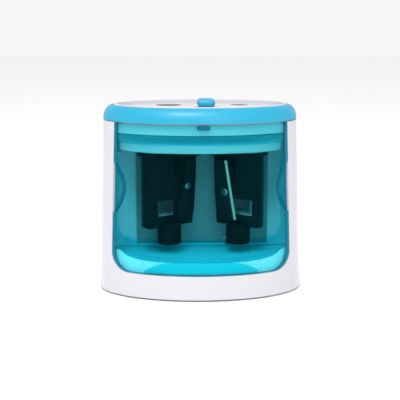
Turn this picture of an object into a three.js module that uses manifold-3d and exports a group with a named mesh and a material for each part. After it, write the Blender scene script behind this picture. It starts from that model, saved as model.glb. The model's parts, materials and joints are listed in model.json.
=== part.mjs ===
// A small twin-hole desktop pencil sharpener: a tapered elliptical case with a translucent drawer,
// two hanging cutters driven by one motor, and a battery base. Millimetres, +Z up, front towards -Y.
import * as THREE from 'three';
import { mergeVertices } from 'three/addons/utils/BufferGeometryUtils.js';
import Module from 'manifold-3d';

const wasm = await Module();
wasm.setup();

// ---- driving dimensions -------------------------------------------------------------------------
const CASE = { a: 49, b: 32, wall: 2, taper: 0.0341 / 49, bottom: 0.8, top: 82 };
const GAP = 0.3;                       // clearance between neighbouring pieces
const FAR = 80;                        // reaches past every piece, for cutting tools
const ABOVE = 100;                     // higher than every piece, for cutting tools
const WINDOW = { half: 43, bottom: 12, corner: 8.5 };
const RIM = { bottom: 82.3, crown: 83.2, top: 89.2, inset: 4.6, thick: 1.8, end: 5 };
const LIP = { top: 89.6, inset: RIM.inset + GAP, width: 1.2 };
const PLATE = { top: 88, bottom: 86.5 };
const SKIRT = { bottom: 76.8, inset: 2.6, width: 1.5, shelf: 84.4 };
const APRON = { a: 40.7, b: 26.5, thick: 1.3, bottom: 68.5, top: 76.5 };
const DECK = { bottom: 74.6, top: 76.6 };
const WALL = { a: 46.4, b: 29.4, front: 9.6, back: 11.2, bottom: 18, top: 65.4 };
const POST = { half: 2.4, pilot: 1.2 };

const LEFT = {
  x: -15, y: -5, hole: 6.2, bore: 6.25, guide: 7, neck: 8.2, radius: 13.5, teeth: 38,
  flat: [1.6, 6], facing: -50, hand: 1, screw: 6.85, cone: 6.3, window: [-5.1, 1.8], z: 50.7,
};
const RIGHT = {
  x: 18.3, y: -5, hole: 4.2, bore: 4.25, guide: 5.2, neck: 6.6, radius: 12.2, teeth: 36,
  flat: [1.2, 4.3], facing: -130, hand: -1, screw: 4.8, cone: 4.6, window: [-2.1, 5.9], z: 47.6,
};
const CARRIER = { bottom: 31, top: 65.7, flange: 67.7, lip: 2, nose: 5.9, tip: 22.6, end: 78 };
const CUTTER_GEAR = { module: 0.9, bottom: 68, top: 71 };
const COMPOUND = { teeth: 12, big: 40, module: 0.5, angle: 60, top: 73.3, bore: 1.3, axle: 1 };
const PINION = { teeth: 10, bottom: 71.4, top: 73.6, bore: 1.2 };
const MOTOR = { x: 7.93, radius: 10, flat: 7.5, bottom: 42.4, top: 67.4, shaft: 0.95, end: 74.2, nose: 3 };
const BLADE = { lift: 0.25, thick: 0.9, width: 10, past: 4.8, low: 3, length: 29, tilt: 7.5 };

const CELL = { radius: 7.25, half: 25.25, z: 9.3, rows: [-15, 0, 15], nub: 2.6 };
const TRAY = { x: 30.6, y: 23.3, corner: 3.5, wall: 0.9, top: 17.7, roof: 16.8, bottom: 2.9 };
const DAM = { inset: 3.2, thick: 1, end: 2 };  // the wall behind the drawer's lower front
const BASE = { bottom: 0.8, top: 2.6, boss: 3.4 };
const BOSS = { radius: 2.7, pilot: 1.35, top: 11, web: 0.8 };
const DOOR = { x: 29, y: 21.2, bottom: 1, top: 1.75 };
const FOOT = { x: 34.5, y: 13.5, radius: 3.4, top: 1.2 };
const BASE_SCREWS = [[-39.5, 0], [39.5, 0], [0, -26.4], [0, 26.4]];
const GUIDE_SCREWS = [[-29.5, -5], [29, -5]];
const COLUMNS = [[-33.6, 13.8], [33.6, 13.8]];
const BRACKET_COLUMNS = [[19, 19.4, 2.6], [5.2, 24.4, 1.8]];   // x, y and radius
const BEARING = { below: 73.7, wall: 1.8, clearance: 0.25 };
const DRAWER = { half: 42.6, side: 1.6, floor: 18, inner: 19.6, back: 8, sides: 62, lip: 21.3 };
const GRIP = { z: 51.5, half: 12, reach: 5.4, depth: 1.1 };
const NUB = { x: 0.7, half: 3.05, bottom: 79.7, proud: 0.9 };
const KNOB = { x: 2.65, y: -5, half: [4.25, 6], top: 92, bottom: 88.3, travel: 4, stem: 1.6 };
const SHUTTER = { half: [11.1, 6], bottom: 85, top: 86.2 };
const GUIDE = { bottom: 66.2, plate: [83, 84.7], a: 33, b: 13 };
const SWITCH = { x: 14, z: 20, stem: 1.2, bottom: 18, top: 24, half: 5 };
const SCREW = { radius: 1, head: 2.2, depth: 1.1 };
const WINDOW_CUT = { bottom: 36.7, top: 44.2 };   // the slot seen through both cutter carriers

// ---- colours ------------------------------------------------------------------------------------
const finish = (color, roughness, metalness = 0) => ({ color, roughness, metalness });
const WHITE = finish(0xe6e6ea, 0.25);
const BLUE = finish(0x14b9e2, 0.25);
const TEAL = { ...finish(0x12a8c0, 0.1), transparent: true, opacity: 0.45 };
const BLACK = finish(0x15181a, 0.45);
const GREY = finish(0x8d9296, 0.5);
const STEEL = finish(0xb9bdc2, 0.3, 1);
const BRASS = finish(0xc9a85a, 0.35, 1);
const NATURAL = finish(0xe9e4d4, 0.5);
const RUBBER = finish(0x2a2a2c, 0.9);
const CELL_SKIN = finish(0x3f7f4a, 0.4);

// ---- solids -------------------------------------------------------------------------------------
function solid(geometry) {
  const bare = geometry.clone();
  bare.deleteAttribute('normal');
  bare.deleteAttribute('uv');
  const merged = mergeVertices(bare, 1e-4);
  const vertProperties = new Float32Array(merged.attributes.position.array);
  const triVerts = new Uint32Array(merged.index.array);
  return new wasm.Manifold(new wasm.Mesh({ numProp: 3, vertProperties, triVerts }));
}

function toGeometry(manifold) {
  const mesh = manifold.getMesh();
  const geometry = new THREE.BufferGeometry();
  geometry.setAttribute('position', new THREE.BufferAttribute(mesh.vertProperties, 3));
  geometry.setIndex(new THREE.BufferAttribute(mesh.triVerts, 1));
  return geometry;
}

function join(...solids) {
  return solids.reduce((whole, piece) => whole.add(piece));
}

function cut(body, ...tools) {
  return tools.reduce((rest, tool) => rest.subtract(tool), body);
}

// Bends each vertex of a geometry by a function of its position.
function reshape(geometry, change) {
  const place = geometry.attributes.position;
  const vertex = new THREE.Vector3();
  for (let i = 0; i < place.count; i += 1) {
    vertex.fromBufferAttribute(place, i);
    change(vertex);
    place.setXYZ(i, vertex.x, vertex.y, vertex.z);
  }
  return geometry;
}

// The case narrows evenly towards the top.
const caseScale = (z) => 1 - CASE.taper * z;

function tapered(geometry) {
  return reshape(geometry, (vertex) => {
    const scale = caseScale(vertex.z);
    vertex.x *= scale;
    vertex.y *= scale;
  });
}

function extrudeZ(shape, bottom, top, curveSegments = 8) {
  const geometry = new THREE.ExtrudeGeometry(shape, {
    depth: top - bottom, bevelEnabled: false, curveSegments,
  });
  return geometry.translate(0, 0, bottom);
}

function ellipsePrism(a, b, bottom, top, segments = 44) {
  const outline = new THREE.Shape();
  outline.absellipse(0, 0, a, b, 0, 2 * Math.PI, false, 0);
  return extrudeZ(outline, bottom, top, segments / 2);
}

const inset = (amount, bottom, top) => (
  solid(tapered(ellipsePrism(CASE.a - amount, CASE.b - amount, bottom, top))));

const skinRing = (outer, inner, bottom, top) => (
  inset(outer, bottom, top).subtract(inset(inner, bottom - 1, top + 1)));

function block(x0, x1, y0, y1, z0, z1) {
  const geometry = new THREE.BoxGeometry(x1 - x0, y1 - y0, z1 - z0);
  return geometry.translate((x0 + x1) / 2, (y0 + y1) / 2, (z0 + z1) / 2);
}

const box = (...limits) => solid(block(...limits));

function rodZ(radius, bottom, top, x = 0, y = 0, sides = 16) {
  const geometry = new THREE.CylinderGeometry(radius, radius, top - bottom, sides);
  return solid(geometry.rotateX(Math.PI / 2).translate(x, y, (bottom + top) / 2));
}

function rodX(radius, x0, x1, y, z, sides) {
  const geometry = new THREE.CylinderGeometry(radius, radius, x1 - x0, sides);
  return solid(geometry.rotateZ(Math.PI / 2).translate((x0 + x1) / 2, y, z));
}

function tubeZ(outer, inner, bottom, top, x = 0, y = 0, sides = 24) {
  return rodZ(outer, bottom, top, x, y, sides).subtract(rodZ(inner, bottom - 1, top + 1, x, y, sides));
}

// A profile of [radius, height] points turned about Z.
function turned(points, segments = 32) {
  const profile = points.map(([radius, z]) => new THREE.Vector2(radius, z));
  return new THREE.LatheGeometry(profile, segments).rotateX(Math.PI / 2);
}

function roundedRect(x0, x1, z0, z1, low, high) {
  const outline = new THREE.Shape();
  outline.moveTo(x0 + low, z0);
  outline.lineTo(x1 - low, z0);
  outline.absarc(x1 - low, z0 + low, low, -Math.PI / 2, 0);
  outline.lineTo(x1, z1 - high);
  outline.absarc(x1 - high, z1 - high, high, 0, Math.PI / 2);
  outline.lineTo(x0 + high, z1);
  outline.absarc(x0 + high, z1 - high, high, Math.PI / 2, Math.PI);
  outline.lineTo(x0, z0 + low);
  outline.absarc(x0 + low, z0 + low, low, Math.PI, 1.5 * Math.PI);
  return outline;
}

// An outline in X and Z, carried from y0 to y1 and tapered with the case.
function frontPrism(outline, y0, y1) {
  const geometry = new THREE.ExtrudeGeometry(outline, {
    depth: y1 - y0, bevelEnabled: false, curveSegments: 5,
  });
  return solid(tapered(geometry.rotateX(Math.PI / 2).translate(0, y1, 0)));
}

// ---- gears --------------------------------------------------------------------------------------
const PRESSURE = THREE.MathUtils.degToRad(20);
const BACKLASH = 0.22;
const involute = (angle) => Math.tan(angle) - angle;

function gearOutline(teeth, module) {
  const pitch = (teeth * module) / 2;
  const baseCircle = pitch * Math.cos(PRESSURE);
  const levels = [pitch - 1.2 * module, pitch + 0.85 * module];
  const halfAngle = (radius) => {
    const pressure = Math.acos(Math.min(1, baseCircle / radius));
    const atPitch = Math.PI / (2 * teeth) - BACKLASH / (2 * pitch);
    return atPitch + involute(PRESSURE) - involute(pressure);
  };
  const points = [];
  for (let tooth = 0; tooth < teeth; tooth += 1) {
    const middle = (tooth * 2 * Math.PI) / teeth;
    const flank = (radius, side) => {
      const angle = middle + side * halfAngle(radius);
      points.push(new THREE.Vector2(radius * Math.cos(angle), radius * Math.sin(angle)));
    };
    levels.forEach((radius) => flank(radius, -1));
    levels.toReversed().forEach((radius) => flank(radius, 1));
  }
  return new THREE.Shape(points);
}

const pitchRadius = (teeth, module) => (teeth * module) / 2;

function gear(teeth, module, bottom, top, angle, bore, [x, y]) {
  const geometry = extrudeZ(gearOutline(teeth, module), bottom, top);
  const blank = solid(geometry.rotateZ(angle).translate(x, y, 0));
  return bore ? blank.subtract(rodZ(bore, bottom - 1, top + 1, x, y, 20)) : blank;
}

// The tooth angle of a gear that meshes with another one lying in the given direction.
function meshAngle(angleA, teethA, direction, teethB) {
  const phaseA = teethA * (angleA - direction);
  return direction + Math.PI + (Math.PI - phaseA) / teethB;
}

// ---- the group ----------------------------------------------------------------------------------
const sharpener = new THREE.Group();

function add(name, manifold, look) {
  const mesh = new THREE.Mesh(toGeometry(manifold), new THREE.MeshStandardMaterial(look));
  mesh.name = name;
  sharpener.add(mesh);
}

// ---- case ---------------------------------------------------------------------------------------
// The reach of a web from a screw boss out into the case wall, along one axis.
function span(centre, halfWidth) {
  const outer = centre * 1.2;
  return centre ? [Math.min(centre, outer), Math.max(centre, outer)] : [-halfWidth, halfWidth];
}

function outerShell() {
  const ring = skinRing(0, CASE.wall, CASE.bottom, CASE.top);
  const opening = roundedRect(
    -WINDOW.half, WINDOW.half, WINDOW.bottom, CASE.top + 20, WINDOW.corner, 1);
  const pillars = ring.subtract(frontPrism(opening, -FAR, 0));
  const foot = BASE.boss + GAP;
  const bosses = BASE_SCREWS.map(([x, y]) => {
    const web = box(...span(x, BOSS.web), ...span(y, BOSS.web), foot, BOSS.top);
    return rodZ(BOSS.radius, foot, BOSS.top, x, y, 12).add(web);
  });
  const pilots = BASE_SCREWS.map(([x, y]) => rodZ(BOSS.pilot, 0, BOSS.top - 1, x, y, 8));
  const bounds = inset(CASE.wall / 2, CASE.bottom, CASE.top);
  return cut(join(pillars, ...bosses.map((boss) => boss.intersect(bounds))), ...pilots);
}

const RIM_STEPS = 2;

// The rounded rim: one curved section carried round the ellipse.
function rimSection() {
  const section = new THREE.Path();
  const rise = RIM.top - RIM.crown;
  section.moveTo(RIM.inset, RIM.top);
  section.absellipse(RIM.inset, RIM.crown, RIM.inset, rise, Math.PI / 2, Math.PI, false, 0);
  section.lineTo(0, RIM.bottom);
  section.lineTo(RIM.thick, RIM.bottom);
  section.absellipse(RIM.inset, RIM.crown, RIM.inset - RIM.thick, rise - 2, Math.PI, Math.PI / 2, true, 0);
  section.closePath();
  return section.getPoints(RIM_STEPS);
}

function rim(overlap) {
  const points = rimSection().map(({ x, y }) => {
    const reach = x >= RIM.inset - 0.01 ? x + overlap : x;
    return [CASE.a - reach, y];
  });
  const ring = turned(points.toReversed(), 44);
  const flatten = (vertex) => {
    const radius = Math.hypot(vertex.x, vertex.y);
    vertex.y *= (radius - CASE.a + CASE.b) / radius;
  };
  return solid(tapered(reshape(ring, flatten)));
}

function topCover() {
  const rear = rim(LIP.inset - RIM.inset + 0.4).intersect(box(-FAR, FAR, RIM.end + GAP, FAR, 0, ABOVE));
  const lip = skinRing(LIP.inset, LIP.inset + LIP.width, SKIRT.shelf - 1.2, LIP.top);
  const shelf = skinRing(SKIRT.inset, LIP.inset + LIP.width, SKIRT.shelf - 1.2, SKIRT.shelf);
  const skirt = cut(
    skinRing(SKIRT.inset, SKIRT.inset + SKIRT.width, SKIRT.bottom, SKIRT.shelf),
    box(-FAR, FAR, 2, FAR, 0, SKIRT.bottom + 3.7));
  const plate = inset(LIP.inset + 0.1, PLATE.bottom, PLATE.top);
  const collars = [LEFT, RIGHT].map(({ x, y, hole }) => {
    const cone = turned([[0, PLATE.bottom], [hole + 3.2, PLATE.bottom], [hole + 3.2, PLATE.top + 0.1],
      [hole + 0.8, PLATE.top + 1.1], [0, PLATE.top + 1.1]], 28);
    return solid(cone.translate(x, y, 0));
  });
  const bosses = GUIDE_SCREWS.map(([x, y]) => rodZ(2.4, GUIDE.plate[1] + GAP, PLATE.bottom + 0.2, x, y, 12));
  const holes = [LEFT, RIGHT].map(({ x, y, hole }) => rodZ(hole, 80, 95, x, y, 28));
  const pilots = GUIDE_SCREWS.map(([x, y]) => rodZ(1.3, 80, PLATE.top - 0.4, x, y, 8));
  const reach = KNOB.travel + KNOB.stem + GAP;
  const slot = box(KNOB.x - reach, KNOB.x + reach, KNOB.y - 2, KNOB.y + 2, 80, 95);
  return cut(join(lip, shelf, skirt, plate, rear, ...collars, ...bosses), ...holes, ...pilots, slot);
}

function guidePlate() {
  const [bottom, top] = GUIDE.plate;
  const outline = ellipsePrism(GUIDE.a, GUIDE.b, bottom, top, 40).translate(KNOB.x - 2, KNOB.y, 0);
  const tubes = [LEFT, RIGHT].map(({ x, y, guide }) => rodZ(guide, GUIDE.bottom, top, x, y, 24));
  const bores = [LEFT, RIGHT].map(({ x, y, bore }) => rodZ(bore, GUIDE.bottom - 1, top + 1, x, y, 24));
  const screws = GUIDE_SCREWS.map(([x, y]) => rodZ(1.3, bottom - 1, top + 1, x, y, 12));
  return cut(join(solid(outline), ...tubes), ...bores, ...screws);
}

// ---- inner frame --------------------------------------------------------------------------------
const compoundAt = [
  LEFT.x + (pitchRadius(LEFT.teeth + COMPOUND.teeth, CUTTER_GEAR.module)
    * Math.cos(THREE.MathUtils.degToRad(COMPOUND.angle))),
  LEFT.y + (pitchRadius(LEFT.teeth + COMPOUND.teeth, CUTTER_GEAR.module)
    * Math.sin(THREE.MathUtils.degToRad(COMPOUND.angle))),
];
const motorReach = pitchRadius(COMPOUND.big + PINION.teeth, COMPOUND.module);
const motorAt = [MOTOR.x, compoundAt[1] + Math.sqrt(motorReach ** 2 - (MOTOR.x - compoundAt[0]) ** 2)];

function gearDeck() {
  const front = solid(ellipsePrism(APRON.a - GAP, APRON.b - GAP, DECK.bottom, DECK.top));
  const back = solid(ellipsePrism(43.2, 27.2, DECK.bottom, DECK.top)).intersect(
    box(-FAR, FAR, 2.5, FAR, 0, ABOVE));
  const wells = [LEFT, RIGHT].map(({ x, y, neck }) => (
    rodZ(neck + BEARING.clearance + BEARING.wall + 0.2, 70, ABOVE, x, y, 28)));
  const screws = [...COLUMNS, BRACKET_COLUMNS[0]].map(([x, y]) => rodZ(1.3, 70, ABOVE, x, y, 12));
  const axle = rodZ(COMPOUND.axle + 0.15, 70, ABOVE, ...compoundAt, 12);
  const shaft = rodZ(MOTOR.shaft + 2 * GAP, 70, ABOVE, ...motorAt, 20);
  return cut(front.add(back), ...wells, ...screws, axle, shaft);
}

function apron() {
  const { a, b, thick, bottom, top } = APRON;
  const outer = solid(ellipsePrism(a + thick, b + thick, bottom, top));
  const inner = solid(ellipsePrism(a, b, bottom - 1, top + 1));
  return cut(outer, inner, box(-FAR, FAR, 1.6, FAR, 0, ABOVE));
}

function cutterBearing({ x, y, neck }) {
  const inner = neck + BEARING.clearance;
  const collar = tubeZ(inner + BEARING.wall + 1.4, inner, BEARING.below, DECK.bottom - 0.2, x, y, 28);
  const bush = tubeZ(inner + BEARING.wall, inner, BEARING.below, DECK.top, x, y, 28);
  return bush.add(collar);
}

function chamberWall() {
  const { a, b, front, back, bottom, top } = WALL;
  const sheet = solid(tapered(ellipsePrism(a, b, bottom, top))).intersect(
    box(-FAR, FAR, front, back, bottom, top));
  const posts = COLUMNS.map(([x, y]) => box(
    x - POST.half, x + POST.half, back - 0.2, y + POST.half, TRAY.top + GAP, DECK.bottom - GAP));
  const pilots = COLUMNS.map(([x, y]) => rodZ(POST.pilot, 66, ABOVE, x, y, 12));
  const room = SWITCH.stem + 0.4;
  const feeler = box(SWITCH.x - room, SWITCH.x + room, 0, 20, SWITCH.z - room, SWITCH.z + room);
  return cut(join(sheet, ...posts), ...pilots, feeler);
}

// ---- base ---------------------------------------------------------------------------------------
function basePlate() {
  const disc = inset(CASE.wall + GAP, BASE.bottom, BASE.top);
  const bosses = BASE_SCREWS.map(([x, y]) => rodZ(3, BASE.bottom, BASE.boss, x, y, 12));
  const doorway = box(-DOOR.x - 0.4, DOOR.x + 0.4, -DOOR.y - 0.4, DOOR.y + 0.4, 0, 5);
  const heads = BASE_SCREWS.map(([x, y]) => rodZ(2.8, 0, 2.3, x, y, 12));
  const shanks = BASE_SCREWS.map(([x, y]) => rodZ(1.4, 0, 5, x, y, 8));
  const feet = footPlaces().map(([x, y]) => rodZ(FOOT.radius + 0.2, 0, FOOT.top + GAP, x, y, 16));
  return cut(join(disc, ...bosses), doorway, ...heads, ...shanks, ...feet);
}

const footPlaces = () => [-1, 1].flatMap((sideY) => (
  [-1, 1].map((sideX) => [sideX * FOOT.x, sideY * FOOT.y])));

function trayOutline(shrink) {
  const x = TRAY.x - shrink;
  const y = TRAY.y - shrink;
  const corner = TRAY.corner - 0.4 * shrink;
  const outline = new THREE.Shape();
  outline.moveTo(-x + corner, -y);
  outline.lineTo(x - corner, -y);
  outline.lineTo(x, -y + corner);
  outline.lineTo(x, y - corner);
  outline.lineTo(x - corner, y);
  outline.lineTo(-x + corner, y);
  outline.lineTo(-x, y - corner);
  outline.lineTo(-x, -y + corner);
  outline.closePath();
  return outline;
}

// The battery box, whose roof spreads into a deck under the drawer with a wall along its front.
function batteryTray() {
  const shell = solid(extrudeZ(trayOutline(0), TRAY.bottom, TRAY.top));
  const deck = inset(DAM.inset, TRAY.roof, TRAY.top);
  const dam = skinRing(DAM.inset, DAM.inset + DAM.thick, BOSS.top + GAP, TRAY.top).intersect(
    box(-FAR, FAR, -FAR, DAM.end, 0, ABOVE));
  const hollow = solid(extrudeZ(trayOutline(TRAY.wall), 0, TRAY.roof));
  return join(shell, deck, dam).subtract(hollow);
}

// An AA cell along X. Its nub points towards +X, or towards -X when facing is -1.
function cell(y, facing) {
  const between = (from, to) => [facing * from, facing * to].sort((p, q) => p - q);
  const can = rodX(CELL.radius, ...between(-CELL.half, CELL.half - 1), y, CELL.z, 24);
  const nub = rodX(CELL.nub, ...between(CELL.half - 2, CELL.half), y, CELL.z, 12);
  return can.add(nub);
}

function contactPlate(side, y0, y1) {
  const inner = TRAY.x - TRAY.wall - 0.3;
  const limits = [side * inner, side * (inner - 0.5)].sort((p, q) => p - q);
  return box(...limits, y0, y1, CELL.z - 4.5, CELL.z + 4.5);
}

class Coil extends THREE.Curve {
  constructor(length, turns, wide, narrow) {
    super();
    Object.assign(this, { length, turns, wide, narrow });
  }

  getPoint(t, target = new THREE.Vector3()) {
    const angle = 2 * Math.PI * this.turns * t;
    const radius = this.wide + (this.narrow - this.wide) * t;
    return target.set(this.length * t, radius * Math.cos(angle), radius * Math.sin(angle));
  }
}

function spring(side, y) {
  const wire = new THREE.Shape();
  wire.absarc(0, 0, 0.3, 0, 2 * Math.PI);
  const path = new Coil(1.9, 2.5, 4, 2.2);
  const geometry = new THREE.ExtrudeGeometry(wire, {
    extrudePath: path, steps: 20, curveSegments: 3, bevelEnabled: false,
  });
  const start = TRAY.x - TRAY.wall - 1.5;
  const placed = geometry.scale(-side, 1, 1).translate(side * start, y, CELL.z);
  return side > 0 ? solid(flipped(placed)) : solid(placed);
}

// Mirroring turns a mesh inside out; this swaps each triangle's winding back.
function flipped(geometry) {
  const loose = geometry.index ? geometry.toNonIndexed() : geometry.clone();
  const { array } = loose.attributes.position;
  for (let i = 0; i < array.length; i += 9) {
    for (let axis = 0; axis < 3; axis += 1) {
      [array[i + axis], array[i + 3 + axis]] = [array[i + 3 + axis], array[i + axis]];
    }
  }
  return loose;
}

function batteryDoor() {
  const panel = box(-DOOR.x, DOOR.x, -DOOR.y, DOOR.y, DOOR.bottom, DOOR.top);
  const latch = box(-6, 6, -DOOR.y + 0.4, -DOOR.y + 1.6, DOOR.top - 0.1, DOOR.top + 0.25);
  const scoop = box(-5, 5, -DOOR.y - 1, -DOOR.y + 0.8, 0, DOOR.bottom + 0.3);
  return panel.add(latch).subtract(scoop);
}

// ---- drawer -------------------------------------------------------------------------------------
function gripLens(side, margin) {
  const edge = side * (DRAWER.half + 1);
  const tip = side * (DRAWER.half - GRIP.reach + margin);
  const bulge = 2 * tip - edge;
  const outline = new THREE.Shape();
  outline.moveTo(edge, GRIP.z - GRIP.half + margin);
  outline.quadraticCurveTo(bulge, GRIP.z, edge, GRIP.z + GRIP.half - margin);
  outline.closePath();
  return frontPrism(outline, -FAR, -2);
}

function drawer() {
  const { half, side, floor, inner, back, sides, lip } = DRAWER;
  const corner = 8;
  const top = CASE.top - GAP;
  const clear = GAP + 0.1;
  const sheet = frontPrism(
    roundedRect(-half, half, WINDOW.bottom + clear, top, WINDOW.corner, 1), -FAR, -1.5);
  const front = skinRing(0, CASE.wall, 5, 95).intersect(sheet);
  const bucketOuter = frontPrism(roundedRect(-half, half, floor, sides + 20, corner, 1), -FAR, back);
  const bucketInner = frontPrism(
    roundedRect(-half + side, half - side, inner, sides + 30, corner - side, 1), -FAR, back + 1);
  const bounds = inset(CASE.wall / 2, 5, 95);
  const bucket = bucketOuter.intersect(bounds).subtract(bucketInner);
  const lowSides = bucket.subtract(box(-FAR, FAR, -FAR, FAR, sides, ABOVE));
  const rear = frontPrism(roundedRect(-half, half, floor, lip, 1, 0.3), back - 1.4, back);
  const rearLip = rear.intersect(bucketOuter);
  const skin = inset(GRIP.depth, 5, 95);
  const grips = [-1, 1].map((hand) => gripLens(hand, 0).subtract(skin));
  const nub = nubSolid(top);
  return cut(join(front, lowSides, rearLip, nub), ...grips);
}

function nubSolid(top) {
  const outline = roundedRect(NUB.x - NUB.half, NUB.x + NUB.half, NUB.bottom, top - 0.2, 0.9, 0.9);
  const proud = inset(-NUB.proud, 5, 95);
  return frontPrism(outline, -FAR, -CASE.b + 1).intersect(proud);
}

// ---- cutters ------------------------------------------------------------------------------------
// Places a geometry that was built on a cutter's sloping flat: X outward, Y across, Z up the slope.
function onFlat(geometry, cutter) {
  const height = CARRIER.top - CARRIER.bottom;
  const [low, high] = cutter.flat;
  const slope = Math.atan2(high - low, height);
  return geometry
    .rotateY(slope)
    .translate(low, 0, CARRIER.bottom)
    .rotateZ(THREE.MathUtils.degToRad(cutter.facing))
    .translate(cutter.x, cutter.y, 0);
}

const rise = (cutter) => cutter.z - CARRIER.bottom;

function screwOnFlat(cutter, radius, from, to, sides = 16) {
  const geometry = new THREE.CylinderGeometry(radius, radius, to - from, sides);
  geometry.rotateZ(Math.PI / 2).translate((from + to) / 2, cutter.hand * cutter.screw, rise(cutter));
  return solid(onFlat(geometry, cutter));
}

function cutterCarrier(cutter) {
  const { x, y, radius, neck, guide, cone, window } = cutter;
  const { bottom, top, flange, lip, nose, tip, end } = CARRIER;
  const body = rodZ(radius, bottom, top, x, y, 36);
  const bush = rodZ(nose, tip, bottom + 1, x, y, 24);
  const rimDisc = rodZ(radius + lip, top, flange, x, y, 36);
  const tube = rodZ(neck, flange - 1, end, x, y, 28);
  const flat = solid(onFlat(block(0, 40, -30, 30, -2, 60), cutter)).subtract(
    box(-FAR, FAR, -FAR, FAR, top, 120));
  const clear = guide + 0.3;
  const pocket = solid(turned([[0, 35], [1.1, 35], [cone, top - 1], [clear, top - 1], [clear, end + 1],
    [0, end + 1]], 28).translate(x, y, 0));
  const view = box(x + window[0], x + window[1], -FAR, FAR, WINDOW_CUT.bottom, WINDOW_CUT.top);
  const thread = screwOnFlat(cutter, 1.15, -6, 1, 12);
  return cut(join(body, rimDisc, tube), flat).add(bush).subtract(join(pocket, view, thread));
}

function blade(cutter) {
  const { lift, thick, width, past, low, length, tilt } = BLADE;
  const edge = cutter.hand * (cutter.screw - past);
  const [y0, y1] = [0, cutter.hand * width].sort((p, q) => p - q);
  const plate = block(lift, lift + thick, y0, y1, 0, length);
  plate.rotateX(-cutter.hand * THREE.MathUtils.degToRad(tilt)).translate(0, edge, low);
  const trim = rodZ(cutter.radius - 0.2, 0, 100, cutter.x, cutter.y, 36);
  const sheet = solid(onFlat(plate, cutter)).intersect(trim);
  return sheet.subtract(screwOnFlat(cutter, 1.15, -1, 3, 12));
}

function bladeScrew(cutter) {
  const from = BLADE.lift + BLADE.thick + 0.2;
  return screwOnFlat(cutter, 0.9, -4, from + 0.3, 12).add(screwOnFlat(cutter, 1.75, from, from + 1.1));
}

function retainingRing({ x, y, neck }) {
  const low = DECK.top + GAP;
  return tubeZ(neck + 1.5, neck + 0.2, low, low + 0.8, x, y, 28);
}

// ---- drive --------------------------------------------------------------------------------------
const direction = (from, to) => Math.atan2(to[1] - from[1], to[0] - from[0]);
const leftAt = [LEFT.x, LEFT.y];
const rightAt = [RIGHT.x, RIGHT.y];
const leftAngle = 0;
const rightAngle = meshAngle(leftAngle, LEFT.teeth, direction(leftAt, rightAt), RIGHT.teeth);
const compoundAngle = meshAngle(leftAngle, LEFT.teeth, direction(leftAt, compoundAt), COMPOUND.teeth);
const pinionAngle = meshAngle(0, COMPOUND.big, direction(compoundAt, motorAt), PINION.teeth);

function compoundGear() {
  const { module, bottom, top } = CUTTER_GEAR;
  const small = gear(COMPOUND.teeth, module, bottom, top + 0.35, compoundAngle, 0, compoundAt);
  const big = gear(COMPOUND.big, COMPOUND.module, top + GAP, COMPOUND.top, 0, 0, compoundAt);
  return small.add(big).subtract(rodZ(COMPOUND.bore, 60, 80, ...compoundAt, 12));
}

function idlerAxle() {
  const pin = rodZ(COMPOUND.axle, 66.6, DECK.top + 1, ...compoundAt, 12);
  const head = rodZ(COMPOUND.axle + 1.2, DECK.top + GAP, DECK.top + 1.3, ...compoundAt, 12);
  const foot = rodZ(COMPOUND.axle + 0.7, 66.6, 67.5, ...compoundAt, 12);
  return join(pin, head, foot);
}

function motorCan() {
  const [x, y] = motorAt;
  const can = rodZ(MOTOR.radius, MOTOR.bottom, MOTOR.top, x, y, 28).intersect(
    box(-FAR, FAR, y - MOTOR.flat, y + MOTOR.flat, 0, ABOVE));
  const boss = rodZ(MOTOR.nose, MOTOR.top - 0.5, MOTOR.top + 1.2, x, y, 16);
  const bore = rodZ(MOTOR.shaft + GAP, MOTOR.top - 6, ABOVE, x, y, 12);
  const screws = motorScrews().map(([sx, sy]) => rodZ(1.15, MOTOR.top - 3, ABOVE, sx, sy, 8));
  return cut(can.add(boss), bore, ...screws);
}

const motorScrews = () => [-1, 1].map((side) => [motorAt[0] + 5.1, motorAt[1] + 4.7 * side]);

function motorEndCap() {
  const [x, y] = motorAt;
  const cap = rodZ(MOTOR.radius - 0.6, MOTOR.bottom - 2.3, MOTOR.bottom - GAP, x, y, 28).intersect(
    box(-FAR, FAR, y - MOTOR.flat + 0.6, y + MOTOR.flat - 0.6, 0, ABOVE));
  const lugs = [-1, 1].map((side) => box(
    x + side * 5 - 1.2, x + side * 5 + 1.2, y - 0.3, y + 0.3, MOTOR.bottom - 5, MOTOR.bottom - 2));
  return join(cap, ...lugs);
}

function motorBracket() {
  const low = MOTOR.top + GAP;
  const high = low + 1.5;
  const [x, y] = motorAt;
  const sheet = box(3.6, 21.8, y - 6.4, y + 7.2, low, high).intersect(inset(CASE.wall + 0.6, low, high));
  const columns = BRACKET_COLUMNS.map(([cx, cy, radius]) => (
    rodZ(radius, low, DECK.bottom - GAP, cx, cy, 20)));
  const screws = motorScrews().map(([sx, sy]) => rodZ(1.15, 60, ABOVE, sx, sy, 8));
  const boss = rodZ(MOTOR.nose + GAP, 60, ABOVE, x, y, 16);
  const pilot = rodZ(POST.pilot, high, ABOVE, BRACKET_COLUMNS[0][0], BRACKET_COLUMNS[0][1], 12);
  return cut(join(sheet, ...columns), ...screws, boss, pilot);
}

// ---- screws and switch --------------------------------------------------------------------------
// A screw whose head starts at one height and whose shank ends at another.
function screwZ(x, y, head, tip, radius = SCREW.radius, headRadius = SCREW.head) {
  const up = tip > head;
  const { depth } = SCREW;
  const headSolid = up ? rodZ(headRadius, head, head + depth, x, y, 12)
    : rodZ(headRadius, head - depth, head, x, y, 12);
  return headSolid.add(rodZ(radius, Math.min(head, tip) + 0.1, Math.max(head, tip) - 0.1, x, y, 8));
}

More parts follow.
